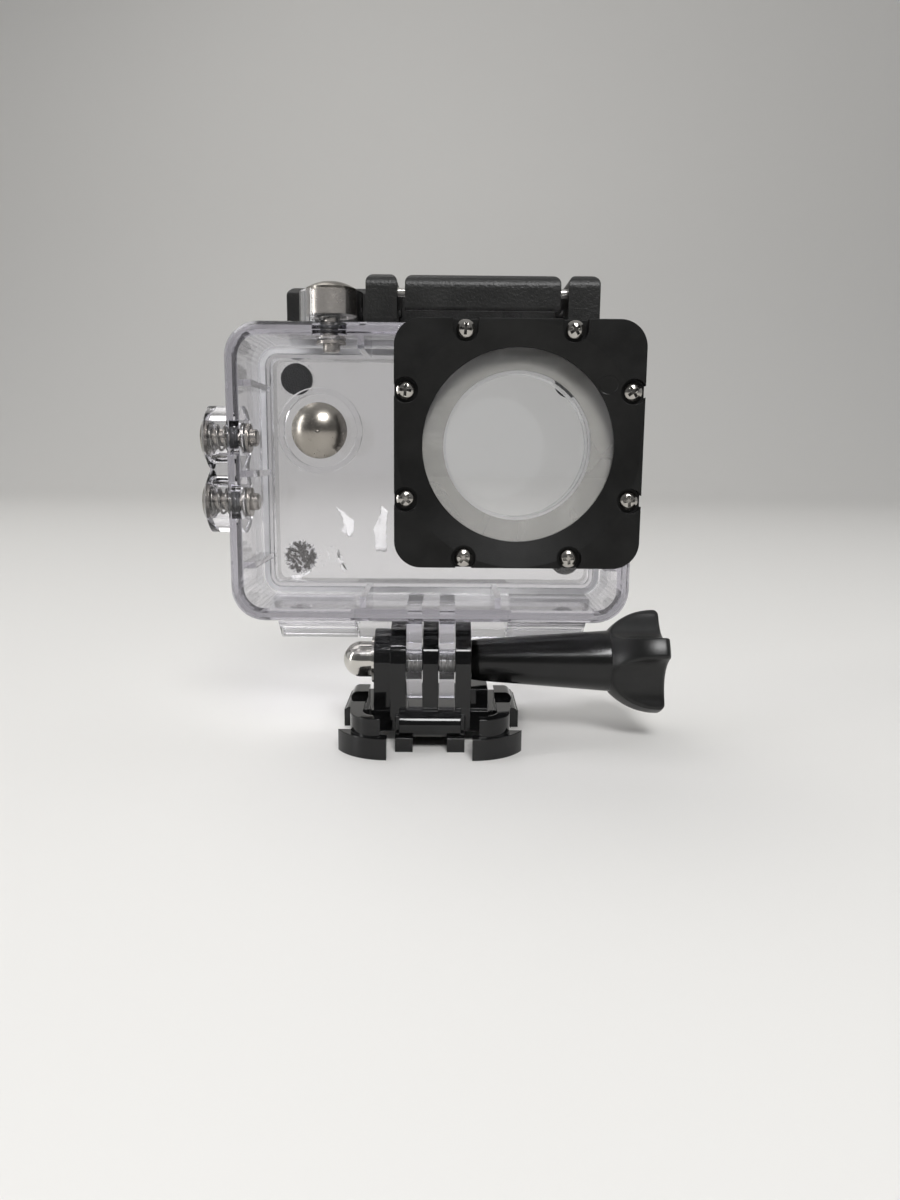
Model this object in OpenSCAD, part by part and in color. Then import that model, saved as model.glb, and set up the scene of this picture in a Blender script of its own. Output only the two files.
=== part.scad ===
// Waterproof case of a small action camera, standing on its quick-release buckle.
// Frame: origin on the underside of the buckle, below the tilt axis.
// +X is the user's right when facing the lens, -Y is the way the lens looks, +Z is up.
// Millimetres.

/* [Case] */
// Width of the clear case
case_w = 69; // [64:0.2:80]
// Height of the clear case
case_h = 50.4; // [48:0.2:60]
// Depth of the front shell, from its front face to the parting line
shell_d = 20.5; // [18:0.5:30]
// Distance from the tilt axis forward to the front face
front_reach = 15; // [14:0.5:16]
// Wall of the front shell
wall = 2.2; // [2:0.1:2.6]
// Corner radius of the case outline
corner_r = 5.8; // [5:0.2:8]
// Roundness of the front edge
edge_r = 1.6; // [1:0.1:2.2]
// Height of the camera-bearing ribs on the inside walls
rib_h = 2.1; // [1.5:0.1:2.3]
// Thickness of those ribs
rib_t = 1.1; // [0.8:0.1:2]

/* [Rear door] */
// Thickness of the door's rim
door_rim_t = 2.8; // [2.4:0.1:4]
// Depth of the raised back of the door behind its rim
door_back_d = 4; // [3:0.1:6]
// Thickness of the door's back panel
door_panel_t = 1.8; // [1.4:0.1:2.6]
// Depth of the plug that enters the shell
plug_d = 2; // [1.5:0.1:2.2]
// Wall of the plug
plug_t = 0.8; // [0.7:0.1:1.2]
// Radial thickness of the silicone seal
seal_t = 1; // [0.8:0.1:1.2]
// Gap between the seal and the shell's wall
seal_gap = 0.3; // [0.3:0.05:0.5]
// Gap at the parting line
part_gap = 0.1; // [0.05:0.05:0.3]
// Diameter of the foam pads
pad_d = 5.9; // [4:0.1:8]
// Thickness of the foam pads
pad_t = 1.5; // [1:0.1:2]
// Distance of the pads' middles from the sides of the dish
pad_side_in = 4; // [3.4:0.1:8]
// Distance of the upper pads' middles from the top of the dish
pad_top_in = 3.3; // [3.2:0.1:8]
// Distance of the lower pads' middles from the bottom of the dish
pad_low_in = 4.2; // [3.2:0.1:8]

/* [Door hinge] */
// Height of the hinge axis below the underside of the case
hinge_drop = 5.5; // [5:0.1:6.5]
// Distance of the hinge axis behind the parting line
hinge_back = 5.9; // [5.5:0.1:7]
// Radius of the hinge knuckles
knuckle_r = 2.6; // [2.2:0.1:2.9]
// Length of the door's middle knuckle
mid_knuckle = 29.4; // [24:0.2:34]
// Length over the shell's two outer knuckles
hinge_w = 60.6; // [50:0.2:62]
// Radius of the door's axle
axle_r = 1.25; // [1:0.05:1.5]

/* [Lens port] */
// Sideways place of the lens axis
port_x = 13.8; // [12:0.1:14]
// Height of the lens axis above the middle of the case
port_rise = 5.05; // [4:0.05:5.2]
// Width of the black bezel
bezel_w = 38.7; // [38.2:0.1:40]
// Height of the black bezel
bezel_h = 38.2; // [38:0.1:39]
// Thickness of the bezel
bezel_t = 4; // [3.6:0.1:5]
// Corner radius of the bezel
bezel_r = 4.2; // [3:0.1:5]
// Opening of the bezel
bezel_open = 30; // [28:0.5:31]
// Diameter of the dish at the front of the bezel
dish_d = 38; // [34:0.2:38]
// Depth of that dish
dish_h = 1.2; // [0.8:0.1:1.4]
// Length of the turret in front of the case
turret_d = 7; // [6:0.5:12]
// Bore of the turret, over the camera's lens
lens_bore = 22.6; // [20:0.2:26]
// Length of the lip round that bore, behind the turret's front wall
lip_len = 2.2; // [1:0.1:4]
// Diameter of the flat window
window_d = 35.4; // [34:0.1:35.6]
// Thickness of the window
window_t = 1.8; // [1:0.1:1.9]
// Thickness of the grey gasket behind the window
gasket_t = 0.5; // [0.3:0.05:0.6]
// Nearer offset of the bezel screws from the lens axis
screw_near = 8.38; // [7:0.02:9.5]
// Farther offset of the bezel screws from the lens axis
screw_far = 17.6; // [17.2:0.05:17.7]
// Diameter of the screw heads
screw_head = 2.8; // [2.2:0.1:3]
// Diameter of the screw shanks
screw_d = 1.4; // [1.2:0.1:1.6]

/* [Buttons] */
// Travel of every button
travel = 1.4; // [1:0.1:1.5]
// Radius of the button shafts
shaft_r = 1.5; // [1.2:0.1:1.6]
// Radius of the power button's cap
power_r = 4.55; // [4:0.05:5.2]
// Radius of the shutter button's cap
shutter_r = 4.4; // [4:0.05:4.6]
// Radius of the side buttons' caps
side_r = 3; // [2.8:0.05:3.4]
// Distance between the side buttons
side_pitch = 11.1; // [11:0.1:14]
// Height of the clear guard ring round the power button
ring_h = 2.4; // [1.5:0.1:2.6]
// Width of the two slots in that ring
ring_slot = 2; // [1:0.1:3]
// Height of the clear boss round the shutter button
shutter_boss = 5.9; // [5:0.1:7]
// Height of the clear bosses round the side buttons
side_boss = 5.7; // [5.2:0.1:7]
// Wire radius of the button springs
wire_r = 0.22; // [0.15:0.01:0.25]

/* [Latch] */
// Left end of the lever bar
bar_x0 = -4.6; // [-5:0.1:-3]
// Length of the lever bar
bar_w = 26.3; // [24:0.1:30]
// Gap between the bar and each ear
ear_gap = 1.3; // [0.5:0.1:1.4]
// Width of each ear
ear_w = 5.3; // [4.8:0.1:5.5]
// Height of the latch's top above the case
latch_h = 8.5; // [8.3:0.1:9]
// Height of the lever's pivot above the case
pivot_rise = 6.7; // [6.5:0.1:7]
// Radius of the lever's pivot pin
pivot_r = 1; // [0.8:0.05:1.2]
// Radius of the link pin
link_r = 0.75; // [0.6:0.05:0.9]
// Slope of the door's catch ridge, in degrees
catch_slope = 24; // [18:1:25]

/* [Mount] */
// Height of the tilt axis above the ground
axis_z = 14.6; // [14.2:0.1:18]
// Distance from the tilt axis up to the case
axis_drop = 9.9; // [9.6:0.1:12]
// Radius of the fingers' round ends
finger_r = 7.5; // [7:0.1:7.5]
// Thickness of the buckle's prongs
prong_t = 2.9; // [2.7:0.1:3]
// Gap between the prongs
prong_gap = 3.1; // [3:0.1:3.4]
// Side clearance of the clear fingers between the prongs
finger_gap = 0.15; // [0.1:0.05:0.3]
// Diameter of the holes for the thumb screw
pivot_hole = 5.2; // [5.1:0.02:5.2]

/* [Thumb screw] */
// Diameter of the steel bolt
bolt_d = 5; // [4.9:0.02:5.04]
// Length of the plastic shaft, from the prong to the knob
stem_len = 26; // [24:0.2:34]
// Radius of the shaft at the prong
stem_r0 = 3.9; // [3.6:0.1:4.4]
// Radius of the shaft at the knob
stem_r1 = 5.8; // [5.4:0.1:6]
// Length of the knob
knob_len = 10.1; // [9:0.1:12]
// Radius of the knob over its lobes
knob_r = 10.3; // [9.8:0.1:11]
// Radius of the flare from the shaft out to the lobes
flare_r = 12; // [11:0.5:18]
// Radius of the flutes between the lobes
flute_r = 8; // [7:0.1:8.4]
// Depth of the flutes
flute_depth = 3.9; // [3:0.1:4.2]
// Roundness of the knob's outer end
knob_edge = 1; // [0.4:0.1:1.6]

/* [Buckle] */
// Distance of the finger tabs' front forward of the tilt axis
buckle_front = 15.9; // [15.5:0.1:17]
// Distance of the tongue's end behind the tilt axis
buckle_rear = 21; // [20:0.1:22]
// Half width over the rails
rail_x = 17.2; // [16:0.1:18]
// Width of each rail
rail_t = 2.6; // [2:0.1:3]
// Height of the rails
rail_h = 3.9; // [3.5:0.1:5]
// Height of the finger tabs
tab_h = 3.9; // [3.4:0.1:5]
// Thickness of the spring arms
arm_t = 2.3; // [1.8:0.1:2.4]
// Half width of the middle plate
core_x = 6.4; // [6:0.1:7]

/* [Hidden] */
$fn = 48;
eps = 0.02;
case_z0 = axis_z + axis_drop;
case_z1 = case_z0 + case_h;
case_zm = case_z0 + case_h / 2;
front_y = -front_reach;
part_y = front_y + shell_d;
rim_y0 = part_y + part_gap;
rim_y1 = rim_y0 + door_rim_t;
back_y = rim_y1 + door_back_d;
panel_y = back_y - door_panel_t;
in_w = case_w - 2 * wall;
in_h = case_h - 2 * wall;
in_r = corner_r - wall;
seal_w = in_w - 2 * seal_gap;
seal_h = in_h - 2 * seal_gap;
plug_w = seal_w - 2 * seal_t;
plug_h = seal_h - 2 * seal_t;
dish_w = plug_w - 2 * plug_t;
dish_in_h = plug_h - 2 * plug_t;
plug_y = rim_y0 - plug_d;
plug_r = in_r - seal_gap - seal_t;
dish_r = plug_r - plug_t;
raised_side = 2.2;
raised_w = dish_w + 2 * raised_side;
raised_h = dish_in_h + 2 * raised_side;
raised_r = dish_r + raised_side;
pad_x = dish_w / 2 - pad_side_in;
pad_z_top = case_zm + dish_in_h / 2 - pad_top_in;
pad_z_low = case_zm - dish_in_h / 2 + pad_low_in;
residue_t = 0.35;
hinge_y = part_y + hinge_back;
hinge_z = case_z0 - hinge_drop;
hinge_bore = axle_r + 0.1;
hinge_side = 0.3;
port_z = case_zm + port_rise;
turret_y = front_y - turret_d;
bezel_y = turret_y - bezel_t;
turret_in = 0.35;
turret_w = bezel_w - 2 * turret_in;
turret_h = bezel_h - 2 * turret_in;
turret_r = bezel_r - turret_in;
turret_wall = 2.2;
lip_r = lens_bore / 2 + 1.6;
gasket_back = 0.4;
recess_r = window_d / 2 + 0.1;
screw_seat = 1.4;
screw_len = 5.2;
head_h = 1;
pocket_r = screw_head / 2 + 0.55;
power_x = -18.3;
power_z = case_zm + 7.35;
shutter_x = -17.6;
shutter_y = -5;
side_y = -7;
side_z = case_zm + 0.65;
ring_in = power_r + 1.5;
ring_out = ring_in + 0.9;
slot_z = 0.8;
cap_gap = travel + 0.5;
boss_out = 5.5;
boss_dome = 1.5;
web_d = 3.8;
web_w = 6.4;
seat_r = 3.05;
seat_d = 1.5;
oring_w = 0.6;
washer_t = seat_d - 2 * oring_w;
bore_gap = 0.06;
cap_side = 0.1;
clip_t = 0.5;
clip_gap = 0.12;
clip_r = 2.6;
clip_groove = 0.4;
tip_len = 1.35;
tip_edge = 0.3;
spring_r = 2.15;
hollow_r = 2.6;
bar_x1 = bar_x0 + bar_w;
latch_z = case_z1 + latch_h;
pivot_y = -3;
pivot_z = case_z1 + pivot_rise;
link_y = -7.6;
link_z = pivot_z - 1;
bar_front = -10;
bar_lift = 2.4;
pin_gap = 0.05;
lug_w = 3;
lug_r = 2.2;
lug_gap = 0.3;
lug_xs = [for (s = [-1, 1]) (bar_x0 + bar_x1) / 2 + s * 5.5];
slot_front = -5.9;
lever_back = pivot_y + 3.4;
ear_l1 = bar_x0 - ear_gap;
ear_l0 = ear_l1 - ear_w;
ear_r0 = bar_x1 + ear_gap;
ear_r1 = ear_r0 + ear_w;
yoke_x0 = -27.5;
yoke_y0 = rim_y0 + 1.6;
yoke_y1 = back_y + 0.2;
yoke_top = case_z1 + 9;
catch_top = case_z1 + 2.5;
catch_gap = 0.3;
catch_y0 = rim_y0 + 0.2;
catch_y1 = rim_y0 + 1.6;
catch_x0 = ear_l0 - 8;
catch_x1 = ear_r1 - 2;
pitch = prong_t + prong_gap;
finger_t = prong_gap - 2 * finger_gap;
stack_w = 3 * prong_t + 2 * prong_gap;
bolt_r = bolt_d / 2;
stem_x0 = stack_w / 2 + 0.2;
knob_turn = 28;
bolt_in = 14;
boss_t = 3.1;
boss_r = 5.9;
nut_af = 8;
nut_play = 0.2;
nut_flange = 0.6;
nut_dome_r = 3.4;
nut_flange_r = 4.4;
nut_len = 6.2;
nut_end_t = 1.8;
nut_x = -stack_w / 2 - boss_t;
core_z0 = 2.2;
core_z1 = 6;
front_bar_y = -11.4;
front_bar_x = 5.6;
front_bar_top = 7.2;
front_bar_r = (front_bar_top - core_z0) / 2;
core_y0 = -8.9;
foot_x = 4.7;
foot_w = 3.2;
foot_len = 11;
rail_y0 = 4;
rail_edge = 1.2;
rail_short = 2;
plate_z0 = 0.8;
plate_z1 = 3.4;
tail_r = 4;
ramp_len = 6;
ramp_angle = 30;
shoulder_x = 11;
shoulder_y = -4.5;
shoulder_len = 8;
shoulder_z = 10;
flank_y = -6;
flank_len = 11.4;
arm_x = 14.5;
arm_z0 = 3;
arm_z1 = 7.2;
arm_dip = 1.2;
arm_high = 7;
grip_x = 9.3;
grip_y = -9.7;
root_x = 15.8;
root_w = 3.4;
root_y0 = 3.5;
root_y1 = 9;
root_edge = 1.3;
tab_x = 7.5;
tab_y = -5.6;
tab_r = buckle_front + tab_y;
tab_t = 2.3;
tab_x0 = 7.6;
tab_y1 = -10.2;

// ---- shared shapes ----

// rectangle with round corners, about its middle
module rrect(w, h, r) {
  square([w - 2 * r, h], center = true);
  square([w, h - 2 * r], center = true);
  for (x = [-1, 1], y = [-1, 1])
    translate([x * (w / 2 - r), y * (h / 2 - r)]) circle(r);
}

// plate in the XZ plane, from depth y0 back to y1
module slab(y0, y1) {
  translate([0, y1, 0]) rotate([90, 0, 0]) linear_extrude(y1 - y0) children();
}

// profile drawn in the YZ plane, from x0 to x1
module along_x(x0, x1) {
  translate([x0, 0, 0]) rotate([90, 0, 90]) linear_extrude(x1 - x0) children();
}

// cylinder along X through the point y, z
module rod_x(x0, x1, y, z, r) {
  translate([x0, y, z]) rotate([0, 90, 0]) cylinder(h = x1 - x0, r = r);
}

// coil spring from z = 0 to h
function coil_point(r, h, turns, w, t, a) =
  let (reach = r + w * cos(a), turn = 360 * turns * t)
    [reach * cos(turn), reach * sin(turn), w + (h - 2 * w) * t + w * sin(a)];

module coil(r, h, turns, w, rings_per_turn = 12, sides = 6) {
  n = ceil(turns * rings_per_turn);
  points = [for (i = [0:n], j = [0:sides - 1]) coil_point(r, h, turns, w, i / n, 360 * j / sides)];
  walls = [for (i = [0:n - 1], j = [0:sides - 1])
    [i * sides + j, i * sides + (j + 1) % sides, (i + 1) * sides + (j + 1) % sides, (i + 1) * sides + j]];
  ends = [[for (j = [sides - 1:-1:0]) j], [for (j = [0:sides - 1]) n * sides + j]];
  polyhedron(points, concat(walls, ends));
}

// ---- places of the buttons: local z points out of the wall's outer face ----

module at_power() {
  translate([power_x, front_y, power_z]) rotate([90, 0, 0]) children();
}

module at_shutter() {
  translate([shutter_x, shutter_y, case_z1]) children();
}

module at_side(s) {
  translate([-case_w / 2, side_y, side_z + s * side_pitch / 2]) rotate([0, -90, 0]) children();
}

module at_each_button() {
  at_power() children();
  at_shutter() children();
  for (s = [-1, 1]) at_side(s) children();
}

// counterbore and shaft hole of one button
module button_hole() {
  translate([0, 0, -wall - 1]) cylinder(h = wall + 2, r = shaft_r + bore_gap);
  translate([0, 0, -seat_d]) cylinder(h = seat_d + 1, r = seat_r);
}

// turned button: shaft with a clip groove, and a domed cap
module button(cap_r, cap_z0, cap_z1, dome, hollow_z) {
  groove_z = -wall - clip_gap - clip_t;
  tip_z = groove_z - tip_len;
  difference() {
    union() {
      translate([0, 0, tip_z + tip_edge]) cylinder(h = cap_z0 + 0.5 - tip_z - tip_edge, r = shaft_r);
      translate([0, 0, tip_z]) cylinder(h = tip_edge, r1 = shaft_r - tip_edge, r2 = shaft_r);
      rotate_extrude() cap_profile(cap_r, cap_z0, cap_z1, dome);
    }
    translate([0, 0, groove_z - eps]) difference() {
      cylinder(h = clip_t + 2 * eps, r = shaft_r + 1);
      translate([0, 0, -1]) cylinder(h = clip_t + 2, r = shaft_r - clip_groove);
    }
    translate([0, 0, cap_z0 - 1]) difference() {
      cylinder(h = hollow_z - cap_z0 + 1, r = hollow_r);
      translate([0, 0, -1]) cylinder(h = hollow_z - cap_z0 + 4, r = shaft_r);
    }
  }
}

// half section of a cap whose top is an arc
module cap_profile(r, z0, z1, dome) {
  big = (r * r + dome * dome) / (2 * dome);
  intersection() {
    translate([0, z0]) square([r, z1 - z0 + dome]);
    translate([0, z1 + dome - big]) circle(big, $fn = 96);
  }
}

// open retaining clip in the shaft's groove
module clip() {
  translate([0, 0, -wall - clip_gap - clip_t]) difference() {
    cylinder(h = clip_t, r = clip_r);
    translate([0, 0, -1]) cylinder(h = clip_t + 2, r = shaft_r - clip_groove + eps);
    translate([0, -0.8, -1]) cube([clip_r + 1, 1.6, clip_t + 2]);
    for (s = [-1, 1]) translate([0.9, s * 1.75, -1]) cylinder(h = clip_t + 2, r = 0.45);
  }
}

module button_spring(h) {
  coil(spring_r, h, 3.5, wire_r);
}

// ---- case ----

module shell_outer() {
  hull()
    for (x = [-1, 1], z = [-1, 1])
      translate([x * (case_w / 2 - corner_r), part_y, case_zm + z * (case_h / 2 - corner_r)])
        rotate([90, 0, 0]) {
          cylinder(h = shell_d - edge_r, r = corner_r, $fn = 32);
          for (a = [30, 60, 90])
            cylinder(h = shell_d - edge_r * (1 - sin(a)), r = corner_r - edge_r * (1 - cos(a)), $fn = 32);
        }
}

module turret_outer() {
  translate([port_x, 0, port_z]) slab(turret_y, front_y + 0.5) rrect(turret_w, turret_h, turret_r);
}

module turret_hollow() {
  translate([port_x, 0, port_z]) difference() {
    slab(turret_y + turret_wall, front_y + wall + 1)
      rrect(turret_w - 2 * turret_wall, turret_h - 2 * turret_wall, turret_r - 1.2);
    slab(turret_y, turret_y + turret_wall + lip_len) circle(lip_r);
  }
}

// ribs that hold the camera off the walls
module case_ribs() {
  rib_y0 = front_y + wall - 0.1;
  rib_y1 = plug_y - 0.4;
  for (x = [-11.75, 11.75], s = [-1, 1])
    translate([x - rib_t / 2, rib_y0, case_zm + s * (in_h / 2 - rib_h / 2) - rib_h / 2 - 0.05])
      cube([rib_t, rib_y1 - rib_y0, rib_h + 0.1]);
  for (z = [-15.5, 0.1, 15.2], s = [-1, 1])
    translate([s * (in_w / 2 - rib_h / 2) - rib_h / 2 - 0.05, rib_y0, case_zm + z - rib_t / 2])
      cube([rib_h + 0.1, rib_y1 - rib_y0, rib_t]);
}

module finger_profile() {
  translate([0, axis_z]) circle(finger_r);
  translate([-finger_r, axis_z]) square([2 * finger_r, axis_drop - 0.5]);
  translate([-finger_r, axis_z]) square([finger_r + min(finger_r, part_y), axis_drop + 0.5]);
}

module shell_hinge_arm(x0, x1) {
  difference() {
    union() {
      rod_x(x0, x1, hinge_y, hinge_z, knuckle_r);
      along_x(x0, x1)
        polygon([
          [part_y - 4.6, case_z0 + 0.4], [part_y, case_z0 + 0.4], [part_y, case_z0 - 0.4],
          [hinge_y - 1, hinge_z + knuckle_r - 0.4], [hinge_y, hinge_z - 1],
          [hinge_y - knuckle_r + 0.4, hinge_z - 1.2]
        ]);
    }
    rod_x(x0 - 1, x1 + 1, hinge_y, hinge_z, hinge_bore);
    translate([x0 - 1, hinge_y - axle_r + 0.25, hinge_z - knuckle_r - 1])
      cube([x1 - x0 + 2, 2 * axle_r - 0.5, knuckle_r + 1]);
  }
}

module latch_lugs() {
  for (x = lug_xs) {
    rod_x(x - lug_w / 2, x + lug_w / 2, pivot_y, pivot_z, lug_r);
    translate([x - lug_w / 2, pivot_y - lug_r, case_z1 - 0.5]) cube([lug_w, 2 * lug_r, pivot_rise + 0.5]);
  }
}

module side_bosses() {
  for (s = [-1, 1]) at_side(s) rotate_extrude() cap_profile(boss_out, -0.5, side_boss - boss_dome, boss_dome);
  translate([-case_w / 2 - web_d, side_y - web_w / 2, side_z - side_pitch / 2])
    cube([web_d + 0.5, web_w, side_pitch]);
}

module front_shell() {
  color("lightsteelblue", 0.5) difference() {
    union() {
      difference() {
        union() {
          shell_outer();
          turret_outer();
        }
        translate([0, 0, case_zm]) slab(front_y + wall, part_y + 1) rrect(in_w, in_h, in_r);
        turret_hollow();
      }
      case_ribs();
      for (s = [-1, 1])
        along_x(s * pitch / 2 - finger_t / 2, s * pitch / 2 + finger_t / 2) finger_profile();
      for (s = [-1, 1])
        shell_hinge_arm(
          s > 0 ? mid_knuckle / 2 + hinge_side : -hinge_w / 2,
          s > 0 ? hinge_w / 2 : -mid_knuckle / 2 - hinge_side
        );
      latch_lugs();
      side_bosses();
      at_shutter() translate([0, 0, -0.5]) cylinder(h = shutter_boss + 0.5, r = boss_out);
      at_power() translate([0, 0, -0.5]) cylinder(h = ring_h + 0.5, r = ring_out);
    }
    translate([port_x, 0, port_z]) slab(turret_y - 1, front_y + wall + 1) circle(lens_bore / 2);
    bezel_pattern(turret_y - 1, turret_y + screw_len, screw_d / 2 + pin_gap);
    rod_x(-stack_w, stack_w, 0, axis_z, pivot_hole / 2);
    rod_x(lug_xs[0] - lug_w, lug_xs[1] + lug_w, pivot_y, pivot_z, pivot_r);
    at_power() cylinder(h = ring_h + 1, r = ring_in);
    at_power() translate([-ring_out - 1, -ring_slot / 2, slot_z]) cube([2 * ring_out + 2, ring_slot, ring_h]);
    at_shutter() cylinder(h = shutter_boss + 1, r = shutter_r + cap_side);
    for (s = [-1, 1]) at_side(s) cylinder(h = side_boss + 1, r = side_r + cap_side);
    at_each_button() button_hole();
  }
}

module latch_pivot_pin() {
  color("silver") rod_x(bar_x0 + 0.4, bar_x1 - 0.4, pivot_y, pivot_z, pivot_r);
}

module button_orings() {
  color("dimgray") at_each_button()
    translate([0, 0, oring_w - seat_d]) rotate_extrude()
      translate([shaft_r + oring_w + 0.05, 0]) circle(oring_w);
}

module button_washers() {
  color("silver") at_each_button()
    translate([0, 0, -washer_t]) difference() {
      cylinder(h = washer_t, r = seat_r - 0.1);
      translate([0, 0, -1]) cylinder(h = washer_t + 2, r = shaft_r + 0.1);
    }
}

// ---- lens port ----

// the eight screw places, as cylinders from depth y0 to y1
module bezel_pattern(y0, y1, r) {
  for (sx = [-1, 1], sz = [-1, 1], p = [[screw_near, screw_far], [screw_far, screw_near]])
    translate([port_x + sx * p[0], y1, port_z + sz * p[1]]) rotate([90, 0, 0]) cylinder(h = y1 - y0, r = r);
}

module lens_window() {
  color("azure", 0.4) translate([port_x, 0, port_z])
    slab(turret_y - gasket_t - window_t, turret_y - gasket_t) circle(window_d / 2, $fn = 96);
}

module lens_gasket() {
  color("darkgray") translate([port_x, 0, port_z])
    slab(turret_y - gasket_t, turret_y) difference() {
      circle(window_d / 2, $fn = 96);
      circle(lens_bore / 2 + gasket_back);
    }
}

module lens_bezel() {
  color([0.09, 0.09, 0.1]) difference() {
    translate([port_x, 0, port_z]) slab(bezel_y, turret_y) rrect(bezel_w, bezel_h, bezel_r);
    translate([port_x, 0, port_z]) {
      slab(bezel_y - 1, turret_y + 1) circle(bezel_open / 2, $fn = 96);
      slab(turret_y - gasket_t - window_t - eps, turret_y + 1) circle(recess_r, $fn = 96);
      translate([0, bezel_y + dish_h, 0]) rotate([90, 0, 0])
        cylinder(h = dish_h * 2, r1 = bezel_open / 2, r2 = dish_d - bezel_open / 2, $fn = 96);
    }
    bezel_pattern(bezel_y - 1, turret_y + 1, screw_d / 2 + 0.1);
    bezel_pattern(bezel_y - 1, bezel_y + screw_seat, pocket_r);
    for (s = [-1, 1])
      translate([port_x + s * screw_near - pocket_r, bezel_y - 1, port_z + screw_far])
        cube([2 * pocket_r, screw_seat + 1, bezel_h / 2]);
  }
}

module bezel_screws() {
  cross_w = 0.45;
  cross_l = 1.8;
  color("silver")
    for (sx = [-1, 1], sz = [-1, 1], p = [[screw_near, screw_far], [screw_far, screw_near]])
      translate([port_x + sx * p[0], bezel_y + screw_seat, port_z + sz * p[1]]) rotate([90, 0, 0])
        difference() {
          union() {
            rotate_extrude() cap_profile(screw_head / 2, 0, head_h - 0.5, 0.5);
            translate([0, 0, screw_seat - bezel_t - screw_len + 0.4])
              cylinder(h = screw_len + bezel_t - screw_seat, r = screw_d / 2);
          }
          for (a = [0, 90])
            rotate(20 * sx + 15 * sz + a) translate([-cross_l / 2, -cross_w / 2, head_h - 0.55])
              cube([cross_l, cross_w, 1]);
        }
}

// ---- rear door ----

module catch_profile() {
  run = back_y - 0.2 - catch_y1;
  polygon([
    [catch_y0, case_z1 - 0.6], [catch_y0, catch_top], [catch_y1, catch_top],
    [back_y - 0.2, catch_top - run * tan(catch_slope)],
    [back_y - 0.2, case_z1 - 4.4], [rim_y1 - 0.6, case_z1 - 4.4]
  ]);
}

module rear_door() {
  color("lightsteelblue", 0.5) {
    difference() {
      union() {
        translate([0, 0, case_zm]) {
          slab(plug_y, rim_y0 + 0.1) rrect(plug_w, plug_h, plug_r);
          slab(rim_y0, rim_y1) rrect(case_w, case_h, corner_r);
          slab(rim_y1 - 0.1, back_y) rrect(raised_w, raised_h, raised_r);
        }
        along_x(catch_x0, catch_x1) catch_profile();
        along_x(-mid_knuckle / 2, mid_knuckle / 2)
          polygon([
            [rim_y1 - 0.4, case_z0 + 3], [rim_y1 - 0.4, hinge_z + 3.4], [hinge_y - knuckle_r, hinge_z],
            [hinge_y + 0.6, hinge_z], [back_y - 0.4, hinge_z + 3], [back_y - 0.4, case_z0 + 3]
          ]);
      }
      translate([0, 0, case_zm]) slab(plug_y - 1, panel_y) rrect(dish_w, dish_in_h, dish_r);
    }
    rod_x(-mid_knuckle / 2, mid_knuckle / 2, hinge_y, hinge_z, knuckle_r);
    rod_x(-hinge_w / 2 + 0.3, hinge_w / 2 - 0.3, hinge_y, hinge_z, axle_r);
  }
}

module door_seal() {
  color("gainsboro") translate([0, 0, case_zm])
    slab(plug_y + 0.3, rim_y0) difference() {
      rrect(seal_w, seal_h, plug_r + seal_t);
      rrect(plug_w, plug_h, plug_r);
    }
}

module pad(x, z) {
  translate([x, panel_y, z]) rotate([90, 0, 0]) cylinder(h = pad_t, r = pad_d / 2);
}

module door_pads() {
  color([0.12, 0.12, 0.12]) {
    pad(-pad_x, pad_z_top);
    pad(pad_x, pad_z_top);
    pad(pad_x, pad_z_low);
  }
}

module pad_residue() {
  color([0.3, 0.3, 0.3]) translate([-pad_x, panel_y, pad_z_low]) rotate([90, 0, 0])
    cylinder(h = residue_t, r = pad_d / 2 + 0.1);
}

// ---- latch ----

module lever_profile() {
  r = 2.3;
  hull() {
    translate([bar_front + r, latch_z - r]) circle(r, $fn = 32);
    translate([bar_front + 0.6, case_z1 + bar_lift + 0.6]) circle(0.6, $fn = 16);
    translate([lever_back - 1.2, latch_z - 1.2]) circle(1.2, $fn = 24);
    translate([lever_back - 1.2, pivot_z - 1.6]) circle(1.2, $fn = 24);
  }
}

module latch_lever() {
  mid = (bar_x0 + bar_x1) / 2;
  color([0.13, 0.13, 0.13]) difference() {
    intersection() {
      along_x(bar_x0, bar_x1) lever_profile();
      translate([mid, 0, latch_z - 10]) slab(bar_front - 1, lever_back + 1) rrect(bar_w, 20, 1.6);
    }
    for (x = lug_xs)
      translate([x - lug_w / 2 - lug_gap, slot_front, case_z1]) cube([lug_w + 2 * lug_gap, 20, 20]);
    rod_x(bar_x0 - 1, bar_x1 + 1, pivot_y, pivot_z, pivot_r + pin_gap);
    rod_x(bar_x0 - 1, bar_x1 + 1, link_y, link_z, link_r);
  }
}

module latch_link_pin() {
  color("silver") rod_x(ear_l0 + 1.4, ear_r1 - 1.4, link_y, link_z, link_r);
}

// side view of an ear and its arm
module ear_profile() {
  r = 2.2;
  front = bar_front - 0.2;
  hull() {
    translate([front + r, latch_z - r]) circle(r, $fn = 32);
    translate([front + 0.8, case_z1 + 1]) circle(0.8, $fn = 16);
    translate([-4.6, case_z1 + 1]) circle(0.8, $fn = 16);
    translate([-2, latch_z - 1]) circle(1, $fn = 16);
  }
  polygon([
    [link_y, latch_z], [yoke_y0 + 1, latch_z], [yoke_y0 + 1, latch_z - 4.6], [-2, latch_z - 4.6],
    [link_y, latch_z - 5]
  ]);
}

// side view of the cross piece that lies on the door's catch
module yoke_profile() {
  drop = (yoke_y1 - catch_y1) * tan(catch_slope);
  polygon([
    [yoke_y0, catch_top + catch_gap + 0.1], [yoke_y0, yoke_top - 1], [yoke_y0 + 1, yoke_top],
    [yoke_y1 - 2.2, yoke_top], [yoke_y1 - 0.6, yoke_top - 0.7], [yoke_y1, yoke_top - 2.4],
    [yoke_y1, catch_top + catch_gap + 0.1 - drop]
  ]);
}

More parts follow.
